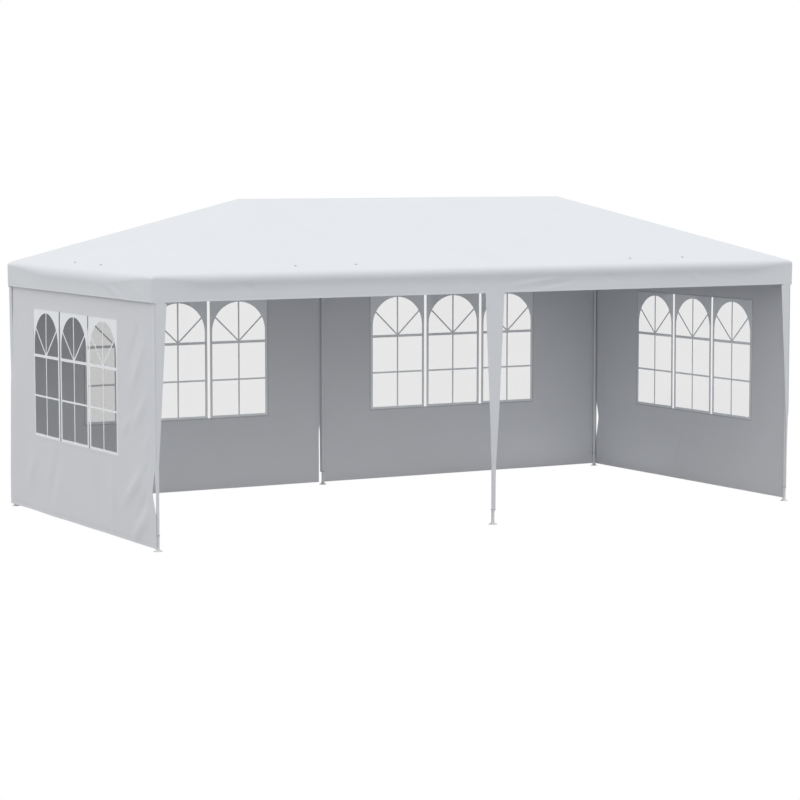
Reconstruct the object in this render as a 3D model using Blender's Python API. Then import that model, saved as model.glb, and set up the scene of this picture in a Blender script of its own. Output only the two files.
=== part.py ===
"""A party marquee: a white cover, four window walls and six leg drapes on a frame of steel tubes.

Metres, +Z up, ground at z = 0, the long side along X and the open front towards -Y.
The origin is on the ground under the middle of the tent.
"""
from math import atan, cos, pi, tau

import bmesh
import bpy
from mathutils import Quaternion, Vector

# Driving dimensions of the frame, measured between the centre lines of its tubes
HALF_LENGTH = 2.90
HALF_DEPTH = 1.45
EAVE_HEIGHT = 2.013
RIDGE_HEIGHT = 2.5485
HALF_RIDGE = 1.53

# Tubes and the sleeved joints that they plug into
GAP = 0.0003
TUBE_SIDES = 12
TUBE_RADIUS = 0.0125
TUBE_WALL = 0.0012
SLEEVE_RADIUS = 0.0151
HUB_RADIUS = 0.0168
SLEEVE_REACH = 0.115
SOCKET_START = 0.050
SOCKET_RADIUS = (TUBE_RADIUS + GAP) / cos(pi / TUBE_SIDES)
SLEEVE_ROLL = 0.15

# Feet: a round plate with a raised collar and a spigot that goes up inside the leg
FOOT_SIDES = 16
FOOT_RADIUS = 0.034
FOOT_PLATE = 0.003
COLLAR_BASE_RADIUS = 0.0215
COLLAR_RADIUS = 0.0145
COLLAR_TOP = 0.0195
SPIGOT_RADIUS = (TUBE_RADIUS - TUBE_WALL) * cos(pi / TUBE_SIDES) - GAP
SPIGOT_TOP = 0.075
SPIGOT_CHAMFER = 0.003
PEG_HOLE_RADIUS = 0.0035
PEG_HOLE_SIDES = 8
PEG_HOLE_OFFSET = 0.0275

# Sheets, as distances out from the centre lines of the legs and the rafters
WALL_INNER = HUB_RADIUS + GAP
WALL_THICKNESS = 0.003
WALL_OUTER = WALL_INNER + WALL_THICKNESS
COVER_INNER = WALL_OUTER + GAP
COVER_THICKNESS = 0.004
COVER_OUTER = COVER_INNER + COVER_THICKNESS
ROOF_INNER = HUB_RADIUS + GAP
ROOF_OUTER = ROOF_INNER + COVER_THICKNESS
VALANCE_BOTTOM = 1.840
EAVE_ROUNDING_OUTER = 0.0155
EAVE_ROUNDING_INNER = 0.0120
EAVE_ROUNDING_STEPS = 3

# Side walls
WALL_BOTTOM = 0.020
WALL_TOP = EAVE_HEIGHT
WALL_MEETING_GAP = 0.003
WINDOW_WIDTH = 1.720
WINDOW_BOTTOM = 0.645
WINDOW_TOP = 1.679
FILM_THICKNESS = 0.0012

# How far each window sits from the middle of its bay, along X at the back and along Y at the ends
WINDOW_SHIFT = {"left_end": 0.092, "right_end": -0.088, "back_left": 0.052, "back_right": -0.095}

# Leg drapes: (height, half width) of a middle drape, and (height, width of one face) at a corner
DRAPE_BOTTOM = 0.110
DRAPE_TOP = VALANCE_BOTTOM - GAP
MIDDLE_DRAPE = [(DRAPE_BOTTOM, 0.0175), (0.45, 0.0195), (1.00, 0.0475), (DRAPE_TOP, 0.087)]
CORNER_DRAPE = [(DRAPE_BOTTOM, 0.028), (0.62, 0.029), (1.20, 0.063), (DRAPE_TOP, 0.101)]

FRONT, BACK = -1, 1
LEFT, RIGHT = -1, 1
SIDE_NAMES = {FRONT: "front", BACK: "back"}
END_NAMES = {LEFT: "left", 0: "middle", RIGHT: "right"}

FRONT_PITCH = (RIDGE_HEIGHT - EAVE_HEIGHT) / HALF_DEPTH
END_PITCH = (RIDGE_HEIGHT - EAVE_HEIGHT) / (HALF_LENGTH - HALF_RIDGE)


def clear_scene():
    for thing in list(bpy.data.objects):
        bpy.data.objects.remove(thing)


def make_material(name, colour, roughness, metallic=0.0, alpha=1.0):
    material = bpy.data.materials.new(name)
    material.use_nodes = True
    shader = material.node_tree.nodes["Principled BSDF"]
    shader.inputs["Base Color"].default_value = (*colour, 1.0)
    shader.inputs["Roughness"].default_value = roughness
    shader.inputs["Metallic"].default_value = metallic
    shader.inputs["Alpha"].default_value = alpha
    return material


def make_object(name, bm, material=None):
    mesh = bpy.data.meshes.new(name)
    bmesh.ops.recalc_face_normals(bm, faces=bm.faces[:])
    bm.to_mesh(mesh)
    bm.free()
    made = bpy.data.objects.new(name, mesh)
    bpy.context.scene.collection.objects.link(made)
    if material is not None:
        made.data.materials.append(material)
    return made


def point_along(thing, start, direction, roll=0.0):
    """Puts an object's origin at start and turns its Z axis to direction."""
    thing.location = start
    thing.rotation_mode = "QUATERNION"
    turn = Vector(direction).to_track_quat("Z", "Y")
    thing.rotation_quaternion = turn @ Quaternion((0.0, 0.0, 1.0), roll)
    return thing


def cylinder(name, radius, start, end, sides=TUBE_SIDES):
    """A solid cylinder on the local Z axis, from height start to height end."""
    bm = bmesh.new()
    bmesh.ops.create_cone(
        bm, cap_ends=True, segments=sides, radius1=radius, radius2=radius, depth=end - start
    )
    bmesh.ops.translate(bm, verts=bm.verts[:], vec=(0.0, 0.0, (start + end) / 2))
    return make_object(name, bm)


def use_as_cutter(thing, collection):
    thing.hide_render = True
    thing.display_type = "WIRE"
    bpy.context.scene.collection.objects.unlink(thing)
    collection.objects.link(thing)


def cutter_collection(name):
    collection = bpy.data.collections.new(name)
    bpy.context.scene.collection.children.link(collection)
    return collection


def add_boolean(thing, operation, collection):
    modifier = thing.modifiers.new(operation.lower(), "BOOLEAN")
    modifier.operation = operation
    modifier.solver = "EXACT"
    modifier.operand_type = "COLLECTION"
    modifier.collection = collection


def tube(name, start, end, material):
    """A hollow round tube between two points, open at both ends."""
    start, end = Vector(start), Vector(end)
    bm = bmesh.new()
    for radius in (TUBE_RADIUS, TUBE_RADIUS - TUBE_WALL):
        bmesh.ops.create_circle(bm, segments=TUBE_SIDES, radius=radius)
    bmesh.ops.bridge_loops(bm, edges=bm.edges[:])
    drawn = bmesh.ops.extrude_face_region(bm, geom=bm.faces[:])["geom"]
    moved = [piece for piece in drawn if isinstance(piece, bmesh.types.BMVert)]
    bmesh.ops.translate(bm, verts=moved, vec=(0.0, 0.0, (end - start).length))
    made = make_object(name, bm, material)
    made.data.shade_smooth()
    made.data.set_sharp_from_angle(angle=pi / 5)
    return point_along(made, start, end - start)


def tube_between(name, first_joint, second_joint, material):
    """A tube whose ends sit at the bottoms of the sockets of two joints."""
    first_joint, second_joint = Vector(first_joint), Vector(second_joint)
    inset = (second_joint - first_joint).normalized() * (SOCKET_START + GAP)
    return tube(name, first_joint + inset, second_joint - inset, material)


def sleeved_joint(name, centre, targets, material):
    """A welded joint at centre, with one socket sleeve towards each of the target points.

    Each sleeve is rolled a little further than the last, so that no facets of two sleeves meet flush.
    """
    sleeves = cutter_collection(name + "_sleeves")
    sockets = cutter_collection(name + "_sockets")
    for number, target in enumerate(targets):
        direction = Vector(target) - Vector(centre)
        sleeve = cylinder(f"{name}_sleeve_{number}", SLEEVE_RADIUS, 0.0, SLEEVE_REACH)
        socket_end = SLEEVE_REACH + TUBE_RADIUS
        socket = cylinder(f"{name}_socket_{number}", SOCKET_RADIUS, SOCKET_START, socket_end)
        roll = number * SLEEVE_ROLL
        use_as_cutter(point_along(sleeve, centre, direction, roll), sleeves)
        use_as_cutter(point_along(socket, centre, direction, roll), sockets)
    bm = bmesh.new()
    bmesh.ops.create_icosphere(bm, subdivisions=2, radius=HUB_RADIUS)
    joint = make_object(name, bm, material)
    joint.location = centre
    add_boolean(joint, "UNION", sleeves)
    add_boolean(joint, "DIFFERENCE", sockets)
    return joint


def foot(name, x, y, material):
    """A turned foot: plate, collar and spigot, with two holes for ground pegs."""
    profile = [
        (0.0, 0.0),
        (FOOT_RADIUS, 0.0),
        (FOOT_RADIUS, FOOT_PLATE),
        (COLLAR_BASE_RADIUS, FOOT_PLATE),
        (COLLAR_RADIUS, COLLAR_TOP),
        (SPIGOT_RADIUS, COLLAR_TOP),
        (SPIGOT_RADIUS, SPIGOT_TOP - SPIGOT_CHAMFER),
        (SPIGOT_RADIUS - SPIGOT_CHAMFER, SPIGOT_TOP),
        (0.0, SPIGOT_TOP),
    ]
    bm = bmesh.new()
    points = [bm.verts.new((radius, 0.0, height)) for radius, height in profile]
    for lower, upper in zip(points, points[1:]):
        bm.edges.new((lower, upper))
    bmesh.ops.spin(
        bm, geom=bm.verts[:] + bm.edges[:], axis=(0, 0, 1), cent=(0, 0, 0),
        angle=tau, steps=FOOT_SIDES, use_merge=True,
    )
    bmesh.ops.remove_doubles(bm, verts=bm.verts[:], dist=GAP / 10)
    made = make_object(name, bm, material)
    made.location = (x, y, 0.0)
    holes = cutter_collection(name + "_peg_holes")
    for side in (LEFT, RIGHT):
        hole = cylinder(
            f"{name}_peg_hole_{END_NAMES[side]}", PEG_HOLE_RADIUS,
            -FOOT_PLATE, 2 * FOOT_PLATE, PEG_HOLE_SIDES,
        )
        hole.location = (x + side * PEG_HOLE_OFFSET, y, 0.0)
        use_as_cutter(hole, holes)
    add_boolean(made, "DIFFERENCE", holes)
    return made


def loft(name, sections, material):
    """A closed solid through cross-sections, each a list of points with the same count."""
    bm = bmesh.new()
    loops = [[bm.verts.new(point) for point in section] for section in sections]
    for lower, upper in zip(loops, loops[1:]):
        for i in range(len(lower)):
            j = (i + 1) % len(lower)
            bm.faces.new((lower[i], lower[j], upper[j], upper[i]))
    bm.faces.new(loops[0])
    bm.faces.new(loops[-1])
    return make_object(name, bm, material)


def eave_joint_place(end, side):
    return Vector((end * HALF_LENGTH, side * HALF_DEPTH, EAVE_HEIGHT))


def ridge_joint_place(end):
    return Vector((end * HALF_RIDGE, 0.0, RIDGE_HEIGHT))


def leg_name(end, side):
    return f"{SIDE_NAMES[side]}_{END_NAMES[end]}"


def build_frame(steel):
    """Legs, feet, eave and ridge tubes, rafters, and the joints between them."""
    leg_bottom = COLLAR_TOP + GAP
    for side in (FRONT, BACK):
        for end in (LEFT, 0, RIGHT):
            place = eave_joint_place(end, side)
            ground = Vector((place.x, place.y, leg_bottom))
            leg_top = place - Vector((0.0, 0.0, SOCKET_START + GAP))
            tube("leg_" + leg_name(end, side), ground, leg_top, steel)
            foot("foot_" + leg_name(end, side), place.x, place.y, steel)
            targets = [ground, ridge_joint_place(end)]
            if end == 0:
                targets += [eave_joint_place(LEFT, side), eave_joint_place(RIGHT, side)]
            else:
                targets += [eave_joint_place(0, side), eave_joint_place(end, -side)]
            sleeved_joint("eave_joint_" + leg_name(end, side), place, targets, steel)
            rafter = "rafter_" if end == 0 else "hip_rafter_"
            tube_between(rafter + leg_name(end, side), place, ridge_joint_place(end), steel)
        for end in (LEFT, RIGHT):
            name = f"eave_tube_{SIDE_NAMES[side]}_{END_NAMES[end]}"
            tube_between(name, eave_joint_place(0, side), eave_joint_place(end, side), steel)
    for end in (LEFT, RIGHT):
        front, back = eave_joint_place(end, FRONT), eave_joint_place(end, BACK)
        tube_between(f"eave_tube_{END_NAMES[end]}_end", front, back, steel)
        middle, tip = ridge_joint_place(0), ridge_joint_place(end)
        tube_between(f"ridge_tube_{END_NAMES[end]}", middle, tip, steel)
    for end in (LEFT, 0, RIGHT):
        targets = [eave_joint_place(end, FRONT), eave_joint_place(end, BACK)]
        targets += [ridge_joint_place(other) for other in (LEFT, 0, RIGHT) if abs(other - end) == 1]
        sleeved_joint(f"ridge_joint_{END_NAMES[end]}", ridge_joint_place(end), targets, steel)


def cover_levels(roof_offset, side_offset):
    """The corners of one skin of the cover: valance bottom, eaves and ridge ends."""
    slope = 1.0 / cos(atan(FRONT_PITCH))
    end_slope = 1.0 / cos(atan(END_PITCH))
    x, y = HALF_LENGTH + side_offset, HALF_DEPTH + side_offset
    eave = EAVE_HEIGHT + roof_offset * slope - side_offset * FRONT_PITCH
    ridge = RIDGE_HEIGHT + roof_offset * slope
    ridge_x = HALF_LENGTH - (ridge - EAVE_HEIGHT - roof_offset * end_slope) / END_PITCH
    corners = [(-x, -y), (x, -y), (x, y), (-x, y)]
    bottom = [(cx, cy, VALANCE_BOTTOM) for cx, cy in corners]
    top = [(cx, cy, eave) for cx, cy in corners]
    return bottom, top, [(-ridge_x, 0.0, ridge), (ridge_x, 0.0, ridge)]


def build_cover(fabric):
    """The hipped roof sheet with its valance: one skin over the frame, rounded at the eaves, open below."""
    outer_skin = (ROOF_OUTER, COVER_OUTER, EAVE_ROUNDING_OUTER)
    inner_skin = (ROOF_INNER, COVER_INNER, EAVE_ROUNDING_INNER)
    bm = bmesh.new()
    rims = []
    for roof_offset, side_offset, rounding in (outer_skin, inner_skin):
        levels = cover_levels(roof_offset, side_offset)
        bottom, top, ridge = ([bm.verts.new(point) for point in level] for level in levels)
        for i in range(4):
            j = (i + 1) % 4
            bm.faces.new((bottom[i], bottom[j], top[j], top[i]))
        bm.faces.new((top[0], top[1], ridge[1], ridge[0]))
        bm.faces.new((top[2], top[3], ridge[0], ridge[1]))
        bm.faces.new((top[1], top[2], ridge[1]))
        bm.faces.new((top[3], top[0], ridge[0]))
        eaves = [bm.edges.get((top[i], top[(i + 1) % 4])) for i in range(4)]
        bmesh.ops.bevel(
            bm, geom=eaves, offset=rounding, segments=EAVE_ROUNDING_STEPS,
            profile=0.5, affect="EDGES", material=-1,
        )
        rims.append(bottom)
    outer, inner = rims
    for i in range(4):
        j = (i + 1) % 4
        bm.faces.new((outer[i], inner[i], inner[j], outer[j]))
    return make_object("roof_cover", bm, fabric)


def middle_drape(side, fabric):
    """A tapered strip that hangs from the valance in front of a middle leg."""
    near, far = side * (HALF_DEPTH + COVER_INNER), side * (HALF_DEPTH + COVER_OUTER)
    sections = [
        [(-half, far, z), (half, far, z), (half, near, z), (-half, near, z)]
        for z, half in MIDDLE_DRAPE
    ]
    return loft("leg_drape_" + leg_name(0, side), sections, fabric)


def corner_drape(end, side, fabric):
    """A tapered strip folded round a corner leg, one half on each face."""
    outer_x, outer_y = HALF_LENGTH + COVER_OUTER, HALF_DEPTH + COVER_OUTER
    inner_x, inner_y = HALF_LENGTH + COVER_INNER, HALF_DEPTH + COVER_INNER
    sections = []
    for z, width in CORNER_DRAPE:
        outline = [
            (outer_x, outer_y),
            (outer_x - width, outer_y),
            (outer_x - width, inner_y),
            (inner_x, inner_y),
            (inner_x, outer_y - width),
            (outer_x, outer_y - width),
        ]
        sections.append([(end * x, side * y, z) for x, y in outline])
    return loft("leg_drape_" + leg_name(end, side), sections, fabric)


def add_box(bm, low, high):
    """Adds a box between its lowest and highest corners."""
    low, high = Vector(low), Vector(high)
    corners = bmesh.ops.create_cube(bm, size=1.0)["verts"]
    bmesh.ops.scale(bm, verts=corners, vec=high - low)
    bmesh.ops.translate(bm, verts=corners, vec=(low + high) / 2)


def wall_with_window(name, start, end, window_middle, fabric, film):
    """A hanging wall between two places along its run, with a window sheet in its opening.

    It is made along the X axis with its inner face at y = WALL_INNER, and placed afterwards.
    """
    left, right = window_middle - WINDOW_WIDTH / 2, window_middle + WINDOW_WIDTH / 2
    bm = bmesh.new()
    add_box(bm, (start, WALL_INNER, WALL_BOTTOM), (end, WALL_OUTER, WALL_TOP))
    wall = make_object("wall_" + name, bm, fabric)

    bm = bmesh.new()
    cut_near, cut_far = WALL_INNER - WALL_THICKNESS, WALL_OUTER + WALL_THICKNESS
    add_box(bm, (left, cut_near, WINDOW_BOTTOM), (right, cut_far, WINDOW_TOP))
    cutter = make_object("window_cut_" + name, bm)
    cutter.parent = wall
    cuts = cutter_collection("window_cuts_" + name)
    use_as_cutter(cutter, cuts)
    add_boolean(wall, "DIFFERENCE", cuts)

    bm = bmesh.new()
    near = WALL_INNER + (WALL_THICKNESS - FILM_THICKNESS) / 2
    far = near + FILM_THICKNESS
    add_box(bm, (left + GAP, near, WINDOW_BOTTOM + GAP), (right - GAP, far, WINDOW_TOP - GAP))
    pane = make_object("window_" + name, bm, film)
    pane.parent = wall
    return wall


def build_walls(fabric, film):
    """Two walls along the back, which meet at the middle leg, and one at each end."""
    corner_x = HALF_LENGTH + WALL_INNER - GAP
    meeting = WALL_MEETING_GAP / 2
    for end, name in ((LEFT, "back_left"), (RIGHT, "back_right")):
        start, stop = sorted((end * meeting, end * corner_x))
        middle = end * HALF_LENGTH / 2 + WINDOW_SHIFT[name]
        wall = wall_with_window(name, start, stop, middle, fabric, film)
        wall.location = (0.0, HALF_DEPTH, 0.0)
    front_y, back_y = -HALF_DEPTH - WALL_INNER, HALF_DEPTH + WALL_OUTER
    for end, name in ((LEFT, "left_end"), (RIGHT, "right_end")):
        # The quarter turn that faces the wall outwards takes its +X to +Y on the left, to -Y on the right
        turn = -end
        start, stop = sorted((turn * front_y, turn * back_y))
        wall = wall_with_window(name, start, stop, turn * WINDOW_SHIFT[name], fabric, film)
        wall.location = (end * HALF_LENGTH, 0.0, 0.0)
        wall.rotation_euler.z = turn * pi / 2


def build():
    clear_scene()
    steel = make_material("white_steel", (0.72, 0.73, 0.75), 0.35, metallic=0.1)
    cover_fabric = make_material("cover_fabric", (0.83, 0.84, 0.86), 0.55)
    wall_fabric = make_material("wall_fabric", (0.80, 0.81, 0.83), 0.55)
    film = make_material("window_film", (0.88, 0.89, 0.90), 0.1, alpha=0.3)
    build_frame(steel)
    build_cover(cover_fabric)
    for side in (FRONT, BACK):
        middle_drape(side, cover_fabric)
        for end in (LEFT, RIGHT):
            corner_drape(end, side, cover_fabric)
    build_walls(wall_fabric, film)
    bpy.context.view_layer.update()


build()
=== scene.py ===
"""The looks of the party marquee: its cover, walls, windows and fittings, and the finish of every surface.

Metres, +Z up, ground at z = 0, the long side along X and the open front towards -Y.
"""

from math import cos, exp, pi, radians, sin, sqrt, tau

import bmesh
import bpy
from mathutils import Matrix, Vector, noise


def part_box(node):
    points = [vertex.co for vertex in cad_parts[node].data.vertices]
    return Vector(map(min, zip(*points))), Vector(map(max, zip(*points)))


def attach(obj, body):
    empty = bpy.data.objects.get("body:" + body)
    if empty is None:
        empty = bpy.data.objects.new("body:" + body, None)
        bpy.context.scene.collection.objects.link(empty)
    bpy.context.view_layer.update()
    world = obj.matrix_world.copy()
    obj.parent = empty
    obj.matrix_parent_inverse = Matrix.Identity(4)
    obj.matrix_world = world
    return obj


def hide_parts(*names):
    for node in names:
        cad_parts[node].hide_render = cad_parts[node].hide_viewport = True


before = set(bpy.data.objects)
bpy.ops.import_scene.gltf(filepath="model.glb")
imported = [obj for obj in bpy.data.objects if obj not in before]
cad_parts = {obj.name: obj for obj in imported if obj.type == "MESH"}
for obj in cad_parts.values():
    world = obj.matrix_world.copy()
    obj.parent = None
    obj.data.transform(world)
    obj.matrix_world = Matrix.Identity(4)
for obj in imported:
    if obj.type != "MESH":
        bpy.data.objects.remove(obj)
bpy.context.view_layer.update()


def middle(node):
    """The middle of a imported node's box."""
    low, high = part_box(node)
    return (low + high) / 2


# The frame's centre lines and the heights of its sheets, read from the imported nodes
HALF_LENGTH = middle("foot_back_right").x
HALF_DEPTH = middle("foot_back_right").y
EAVE = middle("eave_tube_front_left").z
RIDGE = middle("ridge_tube_left").z
SOCKET_DEPTH = 0.0503
HALF_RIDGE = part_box("ridge_tube_right")[1].x + SOCKET_DEPTH
VALANCE_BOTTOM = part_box("roof_cover")[0].z
DRAPE_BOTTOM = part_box("leg_drape_front_middle")[0].z
WALL_BOTTOM, WALL_TOP = (corner.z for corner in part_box("wall_left_end"))
FRONT_PITCH = (RIDGE - EAVE) / HALF_DEPTH
END_PITCH = (RIDGE - EAVE) / (HALF_LENGTH - HALF_RIDGE)

# Sheets: the thickness of the woven ones, and how far each lies out from the centre lines of the frame
SHEET = 0.0012
WALL_OUT = middle("wall_back_left").y - HALF_DEPTH
DRAPE_OUT = 0.0224
FLUSH_OUT = WALL_OUT + 0.0014
ROOF_OUT = 0.0190
SHARP_ANGLE = radians(40)
# Points nearer than this are one point
WELD = 0.0002

# The eave, for the middle of a side and for its corners: how high the sheet is held off the tube, how far
# out it starts to roll, how far out it bulges and at what height, how full the roll is, and how far out the
# valance's edge hangs
LONG_EAVE = dict(lift=0.017, start=0.004, bulge=0.0365, low=EAVE - 0.045, full=0.72, hang=0.0230)
END_EAVE = dict(lift=0.003, start=0.005, bulge=0.0490, low=EAVE - 0.068, full=0.62, hang=0.0430)
LONG_CORNER = dict(lift=0.012, start=-0.004, bulge=0.0260, low=EAVE - 0.002, full=0.70, hang=0.0230)
END_CORNER = dict(lift=0.012, start=-0.004, bulge=0.0410, low=EAVE - 0.004, full=0.70, hang=0.0405)
# How far from its corners a long side and an end reach the sizes of their middle
LONG_EASE = 0.45
END_EASE = 0.90
# The roof: how softly two slopes meet at a hip, its sag and unevenness between two rafters, and the
# radius of a corner at the top and at the bottom of the roll
HIP_SOFTNESS = 0.005
ROOF_SAG = 0.006
ROOF_WAVE = 0.0015
CORNER_RADIUS_IN = 0.006
CORNER_RADIUS_OUT = 0.018

# Leg drapes, as (height, size) curves: half the width of a middle one, how far a corner one reaches past
# its leg along a long side, along an end and where it is tied tightly, and how far out a loose one and a
# tied one hang
MIDDLE_DRAPE = [(0.11, 0.0175), (0.45, 0.0195), (1.00, 0.0475), (1.84, 0.0870)]
CORNER_REACH = [(0.11, 0.0030), (0.62, 0.0040), (1.20, 0.0386), (1.84, 0.0763)]
END_REACH = [(0.11, 0.0030), (0.62, 0.0040), (1.84, 0.0305)]
TIED_REACH = [(0.11, -0.0100), (0.40, -0.0090), (0.62, 0.0040), (1.84, 0.0305)]
LOOSE_OUT = [(0.11, DRAPE_OUT), (0.95, 0.0228), (1.50, 0.0290), (1.84, 0.0320)]
TIED_OUT = [(0.11, 0.0156), (0.45, 0.0162), (0.70, 0.0212), (1.00, DRAPE_OUT), (1.84, DRAPE_OUT)]
# How far below the valance's edge the last row of a drape lies, how far in a front drape's edges curl, and
# between which heights they straighten
LEDGE = 0.010
DRAPE_CURL = 0.006
CURL_HEIGHTS = (0.3, 1.2)
# Between which shares of its width a corner drape comes to lie on its wall, how loose it stays along a back
# end, and between which heights it loosens
FLUSH_SHARES = (0.35, 1.0)
LOOSENESS = 0.4
LOOSE_HEIGHTS = (1.45, 1.75)

# Cell sizes of the sheets, and how many rows or steps each part of the cover has
CELL = 0.032
FINE_CELL = 0.0140
ROW = 0.030
ROOF_ROWS = 34
BEND_ROWS = 12
VALANCE_ROWS = 9
ARC_STEPS = 8

# Travel and outward directions of the four sides, anticlockwise from the front
SIDES = [((1, 0), (0, -1)), ((0, 1), (1, 0)), ((-1, 0), (0, 1)), ((0, -1), (-1, 0))]
FRONT_SIDE, RIGHT_SIDE, BACK_SIDE, LEFT_SIDE = range(4)
LONG_SIDES = (FRONT_SIDE, BACK_SIDE)


def mix(first, second, share):
    """The value a share of the way from the first to the second."""
    return first + (second - first) * share


def ease(low, high, value):
    """0 below low, 1 above high, and a smooth step between them."""
    share = min(max((value - low) / (high - low), 0.0), 1.0)
    return share * share * (3.0 - 2.0 * share)


def read_curve(points, place):
    """The value at place of a curve through (place, value) points."""
    for (low, first), (high, second) in zip(points, points[1:]):
        if place <= high:
            return mix(first, second, min(max((place - low) / (high - low), 0.0), 1.0))
    return points[-1][1]


def bezier(share, start, start_pull, end_pull, end):
    """The value a share of the way along a cubic curve."""
    rest = 1.0 - share
    return (
        start * rest**3
        + start_pull * 3 * share * rest**2
        + end_pull * 3 * share**2 * rest
        + end * share**3
    )


def spread(stops, size):
    """Values from the first stop to the last, through every stop and about size apart."""
    values = [stops[0]]
    for low, high in zip(stops, stops[1:]):
        steps = max(1, round((high - low) / size))
        values += [mix(low, high, (step + 1) / steps) for step in range(steps)]
    return values


def fold(place, start, end, width, height):
    """How far a soft straight fold between two points lifts a sheet at place."""
    along = Vector(end) - Vector(start)
    offset = Vector(place) - Vector(start)
    share = min(max(offset.dot(along) / along.length_squared, 0.0), 1.0)
    side = (offset - along * share).length
    return height * exp(-((side / width) ** 2)) * sin(pi * min(max(share, 0.02), 0.98))


def add_grid(bm, columns, rows, place):
    """Adds a grid sheet and puts its point at each (column, row) where place says."""
    points = bmesh.ops.create_grid(bm, x_segments=columns, y_segments=rows, size=0.5)["verts"]
    for point in points:
        column = round((point.co.x + 0.5) * columns)
        row = round((point.co.y + 0.5) * rows)
        point.co = place(column, row)


def make_piece(name, bm, material):
    """Turns a bmesh into a finished piece that stands still with the tent."""
    mesh = bpy.data.meshes.new(name)
    bm.to_mesh(mesh)
    bm.free()
    mesh.shade_smooth()
    mesh.set_sharp_from_angle(angle=SHARP_ANGLE)
    mesh.materials.append(material)
    piece = bpy.data.objects.new(name, mesh)
    bpy.context.scene.collection.objects.link(piece)
    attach(piece, "root")
    return piece


def thicken(bm, thickness):
    """Gives a sheet its thickness, half to each side."""
    bm.normal_update()
    for point in bm.verts:
        point.co += point.normal * thickness / 2
    bmesh.ops.solidify(bm, geom=bm.faces[:], thickness=thickness)


# Canopy

def side_halves(side):
    """Half the run of a side, and how far the side is from the middle of the tent."""
    return (HALF_LENGTH, HALF_DEPTH) if side in LONG_SIDES else (HALF_DEPTH, HALF_LENGTH)


def cover_stations():
    """Places round the cover, each (side, place along it, angle round the corner after it)."""
    reach = CORNER_REACH[-1][1]
    drape = MIDDLE_DRAPE[-1][1]
    stations = []
    for side in range(4):
        half, _ = side_halves(side)
        inner = half - reach
        bays = [-inner, -drape, drape, inner] if half == HALF_LENGTH else [-inner, inner]
        places = spread([-half, -inner], FINE_CELL)
        for low, high in zip(bays, bays[1:]):
            size = FINE_CELL if high == drape else CELL
            places += spread([low, high], size)[1:]
        places += spread([inner, half], FINE_CELL)[1:]
        stations += [(side, place, 0.0) for place in places]
        stations += [(side, half, pi / 2 * step / ARC_STEPS) for step in range(1, ARC_STEPS)]
    return stations + stations[:1]


def eave_shape(side, place, angle):
    """The sizes of the rolled eave at a station: those of its side, tighter towards its corners."""
    long_side = side in LONG_SIDES
    corner, along = (LONG_CORNER, LONG_EAVE) if long_side else (END_CORNER, END_EAVE)
    beyond = END_CORNER if long_side else LONG_CORNER
    half, _ = side_halves(side)
    clear = ease(0.0, LONG_EASE if long_side else END_EASE, half - abs(place))
    turn = angle / (pi / 2)
    return {size: mix(mix(corner[size], along[size], clear), beyond[size], turn) for size in corner}


def outline(station, out_of, radius):
    """The plan position of a station on a rounded rectangle; out_of reads how far out from eave sizes."""
    side, place, angle = station
    travel, outward = (Vector(way) for way in SIDES[side])
    half, away = side_halves(side)
    after = (side + 1) % 4
    ahead = out_of(eave_shape(after, -side_halves(after)[0], 0.0))
    if angle == 0.0:
        out = out_of(eave_shape(side, place, 0.0))
        return travel * place * (half + ahead - radius) / half + outward * (away + out)
    out = out_of(eave_shape(side, half, 0.0))
    centre = travel * (half + ahead - radius) + outward * (away + out - radius)
    return centre + (outward * cos(angle) + travel * sin(angle)) * radius


def soft_min(first, second):
    """The lower of two heights, rounded where they cross."""
    near = max(HIP_SOFTNESS - abs(first - second), 0.0) / HIP_SOFTNESS
    return min(first, second) - near * near * HIP_SOFTNESS / 4


def roof_height(x, y):
    """The height of the tight roof sheet over a plan position."""
    front, back, left, right = (
        EAVE + gap * pitch + ROOF_OUT * sqrt(1 + pitch * pitch)
        for pitch, gap in (
            (FRONT_PITCH, HALF_DEPTH + y), (FRONT_PITCH, HALF_DEPTH - y),
            (END_PITCH, HALF_LENGTH + x), (END_PITCH, HALF_LENGTH - x),
        )
    )
    return soft_min(soft_min(front, back), min(left, right))


def ridge_place(station):
    """Where on the ridge, in plan, the roof's line from a station ends."""
    side, place, angle = station
    if side in LONG_SIDES and angle == 0.0:
        return Vector(SIDES[side][0]) * place / HALF_LENGTH * HALF_RIDGE
    towards = outline(station, lambda shape: 0.0, DRAPE_OUT).x
    return Vector((HALF_RIDGE if towards > 0 else -HALF_RIDGE, 0.0))


def between_rafters(station):
    """0 over a rafter and 1 midway between two."""
    side, place, angle = station
    if angle > 0.0:
        return 0.0
    share = place / side_halves(side)[0]
    return abs(sin(pi * share)) if side in LONG_SIDES else cos(pi / 2 * share)


# Creases of the roof: where each starts and ends in plan, its width and its height
ROOF_CREASES = [
    ((-2.02, -0.50), (-2.30, 0.02), 0.030, -0.0060),
    ((-2.24, -0.46), (-2.50, -0.62), 0.028, -0.0060),
    ((-2.10, -0.56), (-2.36, -0.44), 0.035, 0.0050),
]
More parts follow.
